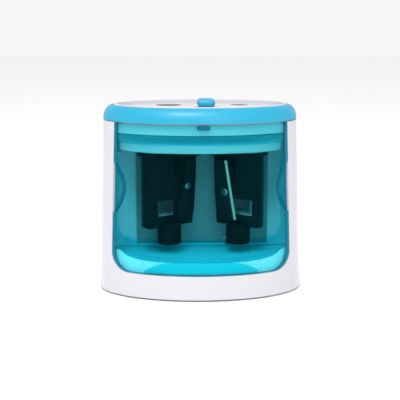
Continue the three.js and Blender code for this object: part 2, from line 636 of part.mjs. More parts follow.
function safetySwitch() {
  const { x, z, stem, bottom, top, half } = SWITCH;
  const room = stem + GAP;
  const housing = box(x - half, x + half, WALL.back + GAP, WALL.back + 6, bottom, top);
  return housing.subtract(box(x - room, x + room, 5, WALL.back + 4.6, z - room, z + room));
}

function switchPlunger() {
  const { x, z, stem } = SWITCH;
  const front = DRAWER.back + GAP;
  return box(x - stem, x + stem, front, WALL.back + 4, z - stem, z + stem);
}

function knob() {
  const [hx, hy] = KNOB.half;
  const outline = roundedRect(-hx, hx, -hy, hy, 3.6, 3.6);
  const body = new THREE.ExtrudeGeometry(outline, {
    depth: KNOB.top - KNOB.bottom - 1.6, curveSegments: 3,
    bevelSize: 1.5, bevelThickness: 1.6, bevelOffset: -1.5, bevelSegments: 2,
  });
  const lower = box(-FAR, FAR, -FAR, FAR, 0, KNOB.bottom);
  const dome = solid(body.translate(KNOB.x, KNOB.y, KNOB.bottom)).subtract(lower);
  const stem = box(KNOB.x - KNOB.stem, KNOB.x + KNOB.stem, KNOB.y - 1.6, KNOB.y + 1.6,
    SHUTTER.top + 0.2, KNOB.bottom + 1);
  return dome.add(stem);
}

function shutter() {
  const [hx, hy] = SHUTTER.half;
  return box(KNOB.x - hx, KNOB.x + hx, KNOB.y - hy, KNOB.y + hy, SHUTTER.bottom, SHUTTER.top);
}

// ---- assembly -----------------------------------------------------------------------------------
add('outer_shell', outerShell(), WHITE);
add('front_bezel', rim(0).intersect(box(-FAR, FAR, -FAR, RIM.end, 0, ABOVE)), BLUE);
add('top_cover', topCover(), WHITE);
add('guide_plate', guidePlate(), WHITE);
add('gear_deck', gearDeck(), WHITE);
add('apron', apron(), WHITE);
add('chamber_wall', chamberWall(), WHITE);
add('base_plate', basePlate(), WHITE);
add('battery_tray', batteryTray(), WHITE);
CELL.rows.forEach((y, row) => add(`cell_${row + 1}`, cell(y, row === 1 ? -1 : 1), CELL_SKIN));
CELL.rows.forEach((y, row) => add(`spring_${row + 1}`, spring(row === 1 ? 1 : -1, y), STEEL));
add('contact_plate_1', contactPlate(1, -19.5, -10.5), STEEL);
add('contact_plate_2', contactPlate(1, -4.5, 19.2), STEEL);
add('contact_plate_3', contactPlate(-1, -19.2, 4.5), STEEL);
add('contact_plate_4', contactPlate(-1, 10.5, 19.5), STEEL);
add('battery_door', batteryDoor(), WHITE);
footPlaces().forEach(([x, y], i) => add(`foot_${i + 1}`, rodZ(FOOT.radius, 0, FOOT.top, x, y, 16), RUBBER));
BASE_SCREWS.forEach(([x, y], i) => add(`base_screw_${i + 1}`, screwZ(x, y, 1, 9.6), STEEL));
GUIDE_SCREWS.forEach(([x, y], i) => (
  add(`guide_screw_${i + 1}`, screwZ(x, y, GUIDE.plate[0] - 1.4, 87.2), STEEL)));
[...COLUMNS, BRACKET_COLUMNS[0]].forEach(([x, y], i) => (
  add(`deck_screw_${i + 1}`, screwZ(x, y, DECK.top + 1.4, 69.8), STEEL)));
motorScrews().forEach(([x, y], i) => (
  add(`motor_screw_${i + 1}`, screwZ(x, y, MOTOR.top + 3.2, MOTOR.top - 2.6, 0.9, 1.6), STEEL)));
add('motor_can', motorCan(), STEEL);
add('motor_end_cap', motorEndCap(), BLACK);
add('motor_bracket', motorBracket(), GREY);
add('motor_shaft', rodZ(MOTOR.shaft, MOTOR.top - 5, MOTOR.end, ...motorAt, 12), STEEL);
add('motor_pinion', gear(
  PINION.teeth, COMPOUND.module, PINION.bottom, PINION.top, pinionAngle, PINION.bore, motorAt), BRASS);
add('compound_gear', compoundGear(), NATURAL);
add('idler_axle', idlerAxle(), STEEL);
for (const [side, cutter, angle] of [['left', LEFT, leftAngle], ['right', RIGHT, rightAngle]]) {
  const { module, bottom, top } = CUTTER_GEAR;
  add(`cutter_carrier_${side}`, cutterCarrier(cutter), BLACK);
  add(`cutter_gear_${side}`, gear(
    cutter.teeth, module, bottom, top, angle, cutter.neck + 0.2, [cutter.x, cutter.y]), NATURAL);
  add(`blade_${side}`, blade(cutter), STEEL);
  add(`blade_screw_${side}`, bladeScrew(cutter), STEEL);
  add(`retaining_ring_${side}`, retainingRing(cutter), STEEL);
  add(`cutter_bearing_${side}`, cutterBearing(cutter), BRASS);
}
add('drawer', drawer(), TEAL);
add('selector_knob', knob(), BLUE);
add('shutter', shutter(), BLACK);
add('safety_switch', safetySwitch(), BLACK);
add('switch_plunger', switchPlunger(), GREY);

export default sharpener;
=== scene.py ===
"""The looks of the twin-hole pencil sharpener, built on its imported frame.

Shapes are made in millimetres and scaled to metres when a piece is finished. +Z is up, and the
drawer faces -Y.
"""
import json
from math import asin, atan2, cos, hypot, pi, radians, sin, sqrt

import bmesh
import bpy
from bmesh.types import BMEdge, BMVert
from mathutils import Matrix, Vector


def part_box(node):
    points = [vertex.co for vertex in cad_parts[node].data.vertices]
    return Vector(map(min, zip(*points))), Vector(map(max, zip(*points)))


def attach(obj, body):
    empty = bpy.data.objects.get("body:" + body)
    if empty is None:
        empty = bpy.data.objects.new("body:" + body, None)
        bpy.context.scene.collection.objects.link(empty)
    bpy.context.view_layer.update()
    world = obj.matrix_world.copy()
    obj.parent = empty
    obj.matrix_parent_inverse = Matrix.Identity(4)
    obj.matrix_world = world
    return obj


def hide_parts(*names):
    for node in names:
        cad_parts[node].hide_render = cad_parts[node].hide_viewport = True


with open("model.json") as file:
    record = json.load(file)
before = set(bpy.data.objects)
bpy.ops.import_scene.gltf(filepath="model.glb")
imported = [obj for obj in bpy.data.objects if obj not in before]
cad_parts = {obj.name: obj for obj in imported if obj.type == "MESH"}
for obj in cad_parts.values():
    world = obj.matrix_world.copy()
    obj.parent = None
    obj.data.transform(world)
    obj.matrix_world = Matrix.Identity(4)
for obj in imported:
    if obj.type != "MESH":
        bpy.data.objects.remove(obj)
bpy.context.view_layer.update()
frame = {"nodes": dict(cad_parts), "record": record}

MM = 0.001


def box_mm(node):
    """A CAD node's lowest and highest corner, in millimetres."""
    low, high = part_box(node)
    return low / MM, high / MM


# ---- driving dimensions, in millimetres and degrees ----------------------------------------------
shell_low, shell_high = box_mm("outer_shell")
bezel_low, bezel_high = box_mm("front_bezel")
cover_low, cover_high = box_mm("top_cover")

HALF_LONG, HALF_SHORT = shell_high.x, shell_high.y
NARROWING = (1 - bezel_high.x / HALF_LONG) / (bezel_low.z - shell_low.z)
WALL = 2.0
WINDOW = {"half": 43.0, "bottom": 12.0, "corner": 8.5}

RIM = {"crown": bezel_low.z + 0.9, "inset": 4.6, "thick": 1.8, "roof": 2.0, "end": bezel_high.y,
       "seam": 0.3, "rear_ledge": 0.4}
LIP = {"inset": 4.9, "width": 1.2, "top": cover_high.z, "chamfer": 0.4}
SKIRT = {"bottom": cover_low.z, "inset": 2.6, "width": 1.5, "shelf": 84.4, "thick": 1.2}
PLATE = {"bottom": 86.5, "top": 88.0, "overlap": 0.1}
COLLAR = {"spread": 3.2, "rise": 1.1, "bore": 0.15}
SLOT = {"x": 2.65, "y": -5.0, "half_x": 5.9, "half_y": 2.0}
KNOB = {"clear": 0.3, "round": 1.75, "stem": 1.5, "overlap": 0.4}
RIDGE = {"width": 0.5, "height": 0.5, "round": 0.2, "sunk": 0.25, "places": (-1.2, 0, 1.2)}

DRAWER = {"half": 42.6, "bottom": WINDOW["bottom"] + 0.4, "top": shell_high.z - 0.3, "side": 1.6,
          "under": 18.0, "floor": 19.6, "corner": 8.0, "back": 8.0, "sides": 62.0, "clear": 0.05}
BOW = {"rise": 3.0, "at": 39.0, "power": 6}
BACK_LIP = {"top": 21.3, "thick": 1.4, "inset": 0.9, "short": 5.0, "overlap": 0.4, "round": 0.5}
GRIP = {"z": 51.5, "half": 12.0, "reach": 4.8, "depth": 0.9, "gap": 0.04, "tip": 0.97}
GRIP_RIB = {"count": 3, "height": 0.6}
NUB = {"size": (6.1, 2.0, 2.0), "x": 0.7, "below": 1.2, "foot": 80.6, "proud": 0.1, "round": 0.75}
STRIP_GAP = 0.02
RIB = {"low": 72.3, "high": 76.5, "thick": 0.45, "short": 0.6}
SILL = {"low": 12.6, "high": 17.95, "drop": 4.6, "half": 28.0, "thick": 0.8}

APRON = {"thick": 1.3, "sweep": pi + 0.05}    # the sweep is in radians
SHADE_PANEL = {"left": -31.5, "right": 34.0, "bottom": 18.6, "top": 64.8, "border": 0.35, "sunk": 0.3}
CREST = {"tray_top": 17.7, "front": 3.2, "gap": 0.05, "thick": 0.9, "foot": 0.5, "under": 0.1,
         "rise": 3.6}

CARRIER = {"bottom": 31.0, "top": 65.7}
SLIT = {"bottom": 36.7, "top": 44.2, "margin": 0.05}
CUTTERS = {
    "left": {"x": -15.0, "y": -5.0, "hole": 6.2, "radius": 13.5, "flat": (1.6, 6.0),
             "facing": -50, "hand": 1, "screw": 6.85, "z": 50.7, "ground_outside": False},
    "right": {"x": 18.3, "y": -5.0, "hole": 4.2, "radius": 12.2, "flat": (1.2, 4.3),
              "facing": -130, "hand": -1, "screw": 4.8, "z": 47.6, "ground_outside": True},
}
BLADE = {"lift": 0.25, "thick": 0.9, "width": 10.0, "past": 4.8, "low": 3.0, "length": 29.0,
         "tilt": 7.5, "bevel": 0.85, "inside": 0.25}
BLADE_SCREW = {"radius": 1.9, "head": 1.1, "shank": 0.9, "length": 4.5, "clear": 0.2, "turn": 20}
CASE_SCREW = {"head": 1.1, "shank": 1.0, "motor_shank": 0.9}

# The camera and lights stand in metres.
CAMERA = {"azimuth": -1.75, "distance": 0.495, "height": 0.130, "pitch": 10.03, "lens": 93.15}
AIM = (0, 0, 0.05)
SOFTBOXES = (    # name, place, size and power
    ("overhead", (0, 0.1, 0.9), (0.9, 0.9), 0.5),
    ("high key", (-0.16, -0.64, 0.95), (0.45, 0.45), 7.7),
    ("low front", (0.25, -1.1, 0.3), (0.5, 0.4), 1.2),
    ("left side", (-0.9, -0.35, 0.35), (0.35, 0.8), 0.4),
    ("right side", (0.9, -0.35, 0.35), (0.35, 0.8), 0.4),
    ("left glint", (-0.35, -0.8, 0.5), (0.06, 0.06), 0.35),
    ("right glint", (0.3, -0.8, 0.5), (0.06, 0.06), 0.35),
)


# ---- places on the oval case ---------------------------------------------------------------------
def narrowed(z):
    """How much the oval case has narrowed at a height."""
    return 1 - NARROWING * (z - shell_low.z)


def on_oval(angle, z, inset=0.0):
    """A point on the oval case. Angle 0 is the front middle, and positive is to the right."""
    scale = narrowed(z)
    long, short = HALF_LONG - inset, HALF_SHORT - inset
    return Vector((long * sin(angle) * scale, -short * cos(angle) * scale, z))


def inset_of(point):
    """How far inside the oval case's face a point lies."""
    scale = narrowed(point.z)
    return (1 - hypot(point.x / HALF_LONG, point.y / HALF_SHORT) / scale) * HALF_SHORT


def across(x):
    """The angle on the oval at which a given width is reached at the front."""
    return asin(x / HALF_LONG)


def bow(x):
    """How far the drawer's floor has risen at a distance from its middle."""
    return BOW["rise"] * (abs(x) / BOW["at"]) ** BOW["power"]


def trough(x, half, bottom, corner):
    """The height of a round-cornered trough whose bottom rises towards its sides."""
    into = min(corner, max(0.0, abs(x) - half + corner))
    return bottom + corner - sqrt(corner ** 2 - into ** 2) + bow(x)


# ---- mesh helpers --------------------------------------------------------------------------------
def everything(bm):
    return bm.verts[:] + bm.edges[:] + bm.faces[:]


def only(kind, items):
    return [item for item in items if isinstance(item, kind)]


def mark(faces, index):
    """Gives faces another of their piece's finishes."""
    for face in faces:
        face.material_index = index


def arc(x, z, radius, start, end, steps):
    """Points on a round corner, with angles in degrees."""
    turns = [radians(start + (end - start) * i / steps) for i in range(steps + 1)]
    return [(x + radius * cos(turn), z + radius * sin(turn)) for turn in turns]


def steps_between(low, high, count):
    return [low + (high - low) * i / count for i in range(1, count)]


def one_to_minus_one(count):
    """Evenly spaced numbers from 1 down to -1."""
    return [1 - 2 * i / count for i in range(count + 1)]


def bisect(bm, point, normal):
    bmesh.ops.bisect_plane(bm, geom=everything(bm), plane_co=point, plane_no=normal)


def flat_sheet(outline, cuts_across=(), cuts_up=()):
    """A flat sheet in X and Z, with extra edges where it is to bend."""
    bm = bmesh.new()
    bm.faces.new([bm.verts.new((x, 0, z)) for x, z in outline])
    for x in cuts_across:
        bisect(bm, (x, 0, 0), (1, 0, 0))
    for z in cuts_up:
        bisect(bm, (0, 0, z), (0, 0, 1))
    return bm


def wrap_on_oval(bm, inset=0.0):
    """Bends a flat sheet, whose X is an angle, on the oval case."""
    for vert in bm.verts:
        vert.co = on_oval(vert.co.x, vert.co.z, inset)
    bmesh.ops.remove_doubles(bm, verts=bm.verts, dist=1e-4)


def thicken_on_oval(bm, wall):
    """Gives a wrapped sheet a wall, measured inwards from its outer face."""
    made = bmesh.ops.extrude_face_region(bm, geom=bm.faces[:])
    for vert in only(BMVert, made["geom"]):
        angle = atan2(vert.co.x / HALF_LONG, -vert.co.y / HALF_SHORT)
        vert.co = on_oval(angle, vert.co.z, inset_of(vert.co) + wall)


def spun(profile, steps=96, at=(0, 0)):
    """A closed profile of (radius, height) points turned a full turn about an upright axis."""
    bm = bmesh.new()
    verts = [bm.verts.new((radius, 0, z)) for radius, z in profile]
    for i, vert in enumerate(verts):
        bm.edges.new((vert, verts[(i + 1) % len(verts)]))
    bmesh.ops.spin(bm, geom=everything(bm), cent=(0, 0, 0), axis=(0, 0, 1), dvec=(0, 0, 0),
                   angle=2 * pi, steps=steps, use_merge=True)
    bmesh.ops.remove_doubles(bm, verts=bm.verts, dist=1e-4)
    bmesh.ops.translate(bm, verts=bm.verts, vec=(*at, 0))
    return bm


def oval_ring(profile, steps=192):
    """A closed profile of (inset, height) points carried round the oval case."""
    bm = spun([(HALF_LONG - inset, z) for inset, z in profile], steps)
    for vert in bm.verts:
        radius = hypot(vert.co.x, vert.co.y)
        vert.co.y *= (radius - HALF_LONG + HALF_SHORT) / radius
        vert.co.x *= narrowed(vert.co.z)
        vert.co.y *= narrowed(vert.co.z)
    return bm


def cut_away(bm, point, normal):
    """Removes what lies on the normal's side of a plane, and closes the cut."""
    made = bmesh.ops.bisect_plane(
        bm, geom=everything(bm), plane_co=point, plane_no=normal, clear_outer=True)
    bmesh.ops.holes_fill(bm, edges=only(BMEdge, made["geom_cut"]), sides=0)


def ring_loop(x, y, radius, steps=64):
    return [(x + radius * cos(2 * pi * i / steps), y + radius * sin(2 * pi * i / steps))
            for i in range(steps)]


def loop_edges(bm, loop, z):
    verts = [bm.verts.new((x, y, z)) for x, y in loop]
    return [bm.edges.new((vert, verts[(i + 1) % len(verts)])) for i, vert in enumerate(verts)]


def plate_of(loops, low, high):
    """A flat plate whose first loop is its outline and whose other loops are holes."""
    bm = bmesh.new()
    edges = [edge for loop in loops for edge in loop_edges(bm, loop, high)]
    bmesh.ops.triangle_fill(bm, use_beauty=True, use_dissolve=False, edges=edges)
    made = bmesh.ops.extrude_face_region(bm, geom=bm.faces[:])
    bmesh.ops.translate(bm, verts=only(BMVert, made["geom"]), vec=(0, 0, low - high))
    return bm


def drawn_out(section, along, rows):
    """A closed section drawn out along a unit axis, with a ring of edges at each unit."""
    bm = bmesh.new()
    start = Vector(section[0])
    bm.faces.new([bm.verts.new(point) for point in section])
    made = bmesh.ops.extrude_face_region(bm, geom=bm.faces[:])
    bmesh.ops.translate(bm, verts=only(BMVert, made["geom"]), vec=along * rows)
    for row in range(1, rows):
        bisect(bm, start + along * row, along)
    return bm


def block(size, centre):
    bm = bmesh.new()
    place = Matrix.Translation(centre) @ Matrix.Diagonal((*size, 1))
    bmesh.ops.create_cube(bm, size=1, matrix=place)
    return bm


def rounded_block(size, centre, radius, segments=3):
    """A block with all its edges rounded."""
    bm = block(size, centre)
    bmesh.ops.bevel(bm, geom=bm.edges[:], offset=radius, segments=segments, affect="EDGES",
                    profile=0.5, material=-1)
    return bm


def grow(bm, edges, radius, z):
    """Carries a round loop of edges on to another radius and height."""
    made = bmesh.ops.extrude_edge_only(bm, edges=edges)
    for vert in only(BMVert, made["geom"]):
        out = hypot(vert.co.x, vert.co.y)
        vert.co = Vector((vert.co.x * radius / out, vert.co.y * radius / out, z))
    return only(BMEdge, made["geom"])


def cross_screw(radius, height, shank, length):
    """A pan-head screw with a cross recess. The head sits on height 0 and the shank goes down."""
    bm = bmesh.new()
    wide, reach = radius * 0.15, radius * 0.56
    arm, cross = [(wide, reach), (-wide, reach), (-wide, wide)], []
    for turn in range(4):
        cross += arm
        arm = [(-y, x) for x, y in arm]
    rim = loop_edges(bm, ring_loop(0, 0, radius * 0.8, 32), height)
    mouth = loop_edges(bm, cross, height)
    bmesh.ops.triangle_fill(bm, use_beauty=True, use_dissolve=False, edges=rim + mouth)

    pit = bmesh.ops.extrude_edge_only(bm, edges=mouth)["geom"]
    bmesh.ops.translate(bm, verts=only(BMVert, pit), vec=(0, 0, -0.6 * height))
    bmesh.ops.scale(bm, verts=only(BMVert, pit), vec=(0.8, 0.8, 1))
    bmesh.ops.triangle_fill(bm, use_beauty=True, use_dissolve=False, edges=only(BMEdge, pit))

    head = ((radius * 0.93, height * 0.9), (radius, height * 0.68), (radius, 0))
    pin = ((shank, 0), (shank, 0.4 - length), (shank * 0.6, -length))
    for ring_radius, z in head + pin:
        rim = grow(bm, rim, ring_radius, z)
    bmesh.ops.holes_fill(bm, edges=rim, sides=0)
    return bm


def joined(*parts):
    """Several shapes as one."""
    whole = bmesh.new()
    for part in parts:
        mesh = bpy.data.meshes.new("part")
        part.to_mesh(mesh)
        part.free()
        whole.from_mesh(mesh)
        bpy.data.meshes.remove(mesh)
    return whole


# ---- finishing a piece ---------------------------------------------------------------------------
def soften(piece, width, angle, segments):
    """Rounds a piece's sharp edges."""
    bevel = piece.modifiers.new("soft edges", "BEVEL")
    bevel.width = width * MM
    bevel.segments = segments
    bevel.limit_method = "ANGLE"
    bevel.angle_limit = radians(angle)
    bevel.use_clamp_overlap = True
    normals = piece.modifiers.new("even shading", "WEIGHTED_NORMAL")
    normals.keep_sharp = True


def piece_from(name, bm, body, finishes, replaces=(), edge=0.0, smooth=35, segments=2):
    """Finishes a shape: metres, outward faces, soft edges, its finishes, its body and its nodes."""
    bmesh.ops.remove_doubles(bm, verts=bm.verts, dist=1e-4)
    bmesh.ops.recalc_face_normals(bm, faces=bm.faces)
    bmesh.ops.scale(bm, vec=(MM, MM, MM), verts=bm.verts)
    mesh = bpy.data.meshes.new(name)
    bm.to_mesh(mesh)
    bm.free()
    piece = bpy.data.objects.new(name, mesh)
    bpy.context.scene.collection.objects.link(piece)
    for finish in finishes:
        mesh.materials.append(finish)
    mesh.shade_smooth()
    mesh.set_sharp_from_angle(angle=radians(smooth))
    if edge:
        soften(piece, edge, smooth, segments)
    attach(piece, body)
    if replaces:
        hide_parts(*replaces)


def copied(node):
    """A copy of a CAD node in millimetres, with its flat faces merged."""
    bm = bmesh.new()
    bm.from_mesh(frame["nodes"][node].data)
    bmesh.ops.remove_doubles(bm, verts=bm.verts, dist=1e-6)
    bmesh.ops.dissolve_limit(bm, angle_limit=radians(1), verts=bm.verts, edges=bm.edges,
                             use_dissolve_boundaries=False)
    bmesh.ops.scale(bm, vec=(1 / MM, 1 / MM, 1 / MM), verts=bm.verts)
    return bm


def stand_in(node, bm, *finishes, edge=0.25, smooth=32):
    """Finishes a shape as the visible form of a CAD node, on the node's body."""
    record = frame["record"]
    bodies = record["behaviour"]["bodies"]
    body = next(body for body, nodes in bodies.items() if node in nodes)
    slot = next(part["material_slot"] for part in record["subparts"] if part["node"] == node)
    piece_from(node + "_fine", bm, body, finishes, (node,), edge, smooth)


def refined(node, finish, edge=0.25, smooth=32):
    """A smoother copy of a CAD node, with soft edges."""
    stand_in(node, copied(node), finish, edge=edge, smooth=smooth)


# ---- shader maths --------------------------------------------------------------------------------
class Wire:
    """A value in a shader, with arithmetic."""

    def __init__(self, shader, socket):
        self.shader = shader
        self.socket = socket

    def maths(self, operation, other):
        return self.shader.node("ShaderNodeMath", {"operation": operation}, {0: self, 1: other})

    def __add__(self, other):
        return self.maths("ADD", other)

    def __mul__(self, other):
        return self.maths("MULTIPLY", other)

    __radd__ = __add__
    __rmul__ = __mul__

    def above(self, level, softness):
        """0 below a level and 1 above it, over a soft step."""
        return self.shader.node(
            "ShaderNodeMapRange", {"interpolation_type": "SMOOTHSTEP"},
            {"Value": self, "From Min": level - softness, "From Max": level + softness})


class Shader:
    """A material made of nodes."""

    def __init__(self, name):
        self.material = bpy.data.materials.new(name)
        self.material.use_nodes = True
        self.tree = self.material.node_tree
        self.tree.nodes.clear()
        self.place = self.node("ShaderNodeTexCoord", out="Object")

    def node(self, kind, settings=None, sockets=None, out=0):
        """Adds a node with its settings and sockets, and gives one of its outputs."""
        node = self.tree.nodes.new(kind)
        for name, value in (settings or {}).items():
            setattr(node, name, value)
        for name, value in (sockets or {}).items():
            if isinstance(value, Wire):
                self.tree.links.new(value.socket, node.inputs[name])
            else:
                node.inputs[name].default_value = value
        return Wire(self, node.outputs[out]) if len(node.outputs) else node

    def along(self, axis):
        return self.node("ShaderNodeSeparateXYZ", {}, {"Vector": self.place}, out=axis)

    def noise(self, scale, detail=2.0, stretch=(1, 1, 1)):
        stretched = self.node("ShaderNodeMapping", {}, {"Vector": self.place, "Scale": stretch})
        return self.node("ShaderNodeTexNoise", {}, {
            "Vector": stretched, "Scale": scale, "Detail": detail})

    def mix_colour(self, factor, first, second):
        return self.node("ShaderNodeMix", {"data_type": "RGBA"},
                         {0: factor, 6: first, 7: second}, out=2)

    def bump(self, height, strength, distance):
        return self.node("ShaderNodeBump", {}, {
            "Height": height, "Strength": strength, "Distance": distance})

    def surface(self, sockets):
        return self.node("ShaderNodeBsdfPrincipled", {}, sockets)

    def done(self, surface):
        self.node("ShaderNodeOutputMaterial", {}, {"Surface": surface})
        return self.material


def rgb(red, green, blue):
    """A screen colour of 0 to 255 as the linear colour a shader takes."""
    def linear(value):
        share = value / 255
        return share / 12.92 if share <= 0.04045 else ((share + 0.055) / 1.055) ** 2.4
    return (linear(red), linear(green), linear(blue), 1)


# ---- finishes ------------------------------------------------------------------------------------
def gloss_plastic(name, colour, shade, roughness=0.16, coat=0.35):
    """Glossy moulded plastic: a trace of mould ripple, faint handling smudges and tone drift."""
    s = Shader(name)
    drift = s.noise(28)
    smudge = s.noise(95, 4).above(0.56, 0.12)
    ripple = s.noise(420, 3)
    return s.done(s.surface({
        "Base Color": s.mix_colour(drift, colour, shade),
        "Roughness": roughness + smudge * 0.07,
        "Coat Weight": coat,
        "Coat Roughness": 0.06,
        "IOR": 1.5,
        "Normal": s.bump(ripple, 0.10, 0.00006),
    }))


def matt_plastic(name, colour, shade, roughness=0.5, grain=0.25, shine=0.5):
    """Spark-textured moulded plastic with a fine even grain."""
    s = Shader(name)
    drift = s.noise(40)
    sparkle = s.noise(1900)
    return s.done(s.surface({
        "Base Color": s.mix_colour(drift, colour, shade),
        "Roughness": roughness - 0.08 + s.noise(240, 3) * 0.16,
        "Specular IOR Level": shine,
        "Normal": s.bump(sparkle, grain, 0.00008),
    }))


def clear_teal(name, colour, shade, share, grazing, roughness, coat=0.5, shine=0.5, fade=None):
    """Translucent tinted plastic: it filters what is behind it and has a glossy coloured skin.

    The skin covers a share of the surface, and more of it at grazing angles. A fade, which is a
    height and its softness in metres, thins the skin below that height.
    """
    s = Shader(name)
    if fade:
        share = s.along("Z").above(*fade) * share
    ripple = s.noise(260)
    cloud = s.noise(36)
    tint = (0.60, 0.955, 0.988, 1)
    filtered = s.node("ShaderNodeBsdfTransparent", {}, {"Color": tint})
    skin = s.surface({
        "Base Color": s.mix_colour(cloud, colour, shade),
        "Roughness": roughness + s.noise(120, 3) * 0.05,
        "Specular IOR Level": shine,
        "Coat Weight": coat,
        "Coat Roughness": 0.04,
        "Normal": s.bump(ripple, 0.08, 0.00006),
    })
    glancing = s.node("ShaderNodeLayerWeight", {}, {"Blend": 0.3}, out="Facing")
    cover = share + glancing * glancing * grazing
    return s.done(s.node("ShaderNodeMixShader", {}, {0: cover, 1: filtered, 2: skin}))


def metal(name, colour, shade, roughness, stretch, scale):
    """Worked metal with fine tool lines and cloudy tone."""
    s = Shader(name)
    lines = s.noise(scale, 4, stretch)
    cloud = s.noise(90, 3)
    return s.done(s.surface({
        "Base Color": s.mix_colour(cloud, colour, shade),
        "Metallic": 1.0,
        "Roughness": roughness - 0.06 + lines * 0.14,
        "Normal": s.bump(lines, 0.16, 0.00005),
    }))


def foot_rubber():
    """Dark rubber with a dusty bloom."""
    s = Shader("foot rubber")
    grain = s.noise(1300, 3)
    dust = s.noise(170, 4).above(0.6, 0.15)
    return s.done(s.surface({
        "Base Color": s.mix_colour(dust, rgb(38, 38, 40), rgb(84, 83, 82)),
        "Roughness": 0.72 + dust * 0.2,
        "Normal": s.bump(grain, 0.4, 0.0001),
    }))


def cell_sleeve():
    """A plain two-tone battery sleeve, with bare steel at both ends."""
    s = Shader("cell sleeve")
    distance = s.node("ShaderNodeMath", {"operation": "ABSOLUTE"}, {0: s.along("X")})
    steel = distance.above(0.0238, 0.0002)
    band = distance.above(0.0165, 0.0002)
    sleeve = s.mix_colour(band, rgb(36, 110, 66), rgb(206, 170, 84))
    return s.done(s.surface({
        "Base Color": s.mix_colour(steel, sleeve, rgb(196, 198, 200)),
        "Metallic": steel,
        "Roughness": 0.28 + s.noise(200, 3) * 0.12,
        "Normal": s.bump(s.noise(300), 0.06, 0.00005),
    }))


WHITE = gloss_plastic("white case plastic", rgb(194, 193, 199), rgb(189, 188, 194))
BLUE = gloss_plastic("sky blue plastic", rgb(0, 150, 184), rgb(0, 144, 179), 0.4, 0.08)

TEAL = clear_teal(
    "teal drawer plastic", rgb(0, 196, 222), rgb(0, 184, 214), 0.004, 0.6, 0.05)
# Painted glow: the drawer's own plastic with a much brighter skin on its floor and sides, standing
# in for the light the dim floor gathers.
TEAL_FLOOR_PAINTED_GLOW = clear_teal(
    "teal floor plastic brightened as painted glow", rgb(0, 236, 250), rgb(0, 226, 244), 0.004, 0.35, 0.05, 0.1)
TEAL_GRIP = clear_teal(
    "teal grip plastic", rgb(0, 110, 134), rgb(0, 120, 144), 0.4, 0.5, 0.16, 0.05, 0.2)
# Painted shade: a darker copy of the drawer plastic on the faces across the drawer's wall and on
# the latch nub, for the shade along its edges and under the bezel.
TEAL_EDGE_PAINTED_SHADE = clear_teal(
    "teal edge plastic darkened as painted shade", rgb(0, 96, 120), rgb(0, 104, 130), 0.6, 0.35, 0.2, 0.0, 0.1)
# The rib's dark skin, fading out below its upper part, is partly the thicker plastic and partly
# painted shade under the top cover's skirt.
TEAL_RIB_PAINTED_SHADE = clear_teal(
    "teal rib plastic with painted shade", rgb(0, 128, 138), rgb(0, 136, 148), 0.42, 0.3, 0.08, 0.3,
    fade=(0.0735, 0.0012))
# The sill's bright cyan skin is partly the thicker plastic's deeper tint and partly painted glow of
# light carried along the plastic.
TEAL_SILL_PAINTED_GLOW = clear_teal(
    "teal sill plastic with painted glow", rgb(0, 222, 232), rgb(0, 212, 226), 0.6, 0.3, 0.08)

# Painted light: the inner white is lighter than the case's white, to light the dim inside of the
# case.
INNER_WHITE_PAINTED_LIGHT = matt_plastic(
    "inner white plastic lightened as painted light", rgb(230, 231, 234), rgb(225, 226, 230), 0.42, 0.12)
# Painted light: the tray's white is lightened, to brighten the dim floor of the drawer above it.
TRAY_WHITE_PAINTED_LIGHT = matt_plastic(
    "battery tray plastic lightened as painted light", rgb(232, 232, 234), rgb(226, 226, 229), 0.42, 0.12)
# Painted shade: the inner white plastic darkened, for the shade under the top cover's skirt.
APRON_PAINTED_SHADE = matt_plastic(
    "inner plastic darkened as painted shade", rgb(174, 176, 179), rgb(168, 170, 174), 0.4, 0.12)
# Painted shade: the grey of the sunk panel between the cutters stands in for the shade that falls
# behind them.
CHAMBER_PAINTED_SHADE = matt_plastic(
    "grey of painted shade on the chamber wall", rgb(138, 139, 142), rgb(127, 128, 131), 0.42, 0.2)
# Painted light: the black carriers' slot faces are pale grey, standing in for the lit wall seen
# through the slots.
SLIT_PAINTED_LIGHT = matt_plastic(
    "pale grey of painted light inside the carriers", rgb(166, 171, 174), rgb(155, 160, 163), 0.5, 0.2)
# Painted shade: the white top's bore faces are grey, for the shade inside the pencil holes.
BORE_PAINTED_SHADE = matt_plastic(
    "grey of painted shade inside the holes", rgb(140, 140, 144), rgb(130, 130, 134), 0.5, 0.2)
GREY = matt_plastic("grey moulded plastic", rgb(120, 124, 128), rgb(132, 135, 138))
BLACK = matt_plastic("black moulded plastic", rgb(4, 4, 4), rgb(7, 7, 8), 0.34, 0.2, 0.05)
ACETAL = matt_plastic("natural acetal", rgb(228, 222, 204), rgb(220, 213, 192), 0.38, 0.12)
RUBBER = foot_rubber()
SLEEVE = cell_sleeve()

STEEL = metal(
    "zinc-plated steel", rgb(214, 217, 220), rgb(196, 200, 205), 0.24, (1, 1, 1), 500)
# Painted reflection: the screw steel is darkened, for the dark surroundings its heads reflect.
SCREW_STEEL_PAINTED_REFLECTION = metal(
    "screw steel darkened as painted reflection", rgb(170, 176, 178), rgb(84, 90, 94), 0.12, (1, 1, 1), 900)
# Painted reflection: the blade face's steel is darkened, for the dark surroundings it reflects.
BLADE_PAINTED_REFLECTION = metal(
    "blade steel darkened as painted reflection", rgb(44, 48, 52), rgb(30, 33, 37), 0.36, (60, 60, 1), 60)
BLADE_STEEL = metal(
    "ground blade steel", rgb(172, 160, 140), rgb(150, 140, 122), 0.24, (60, 60, 1), 60)
MOTOR_STEEL = metal(
    "drawn motor steel", rgb(178, 180, 184), rgb(160, 163, 168), 0.34, (1, 1, 30), 160)
BRASS = metal("turned brass", rgb(206, 170, 96), rgb(186, 148, 78), 0.26, (1, 1, 60), 120)


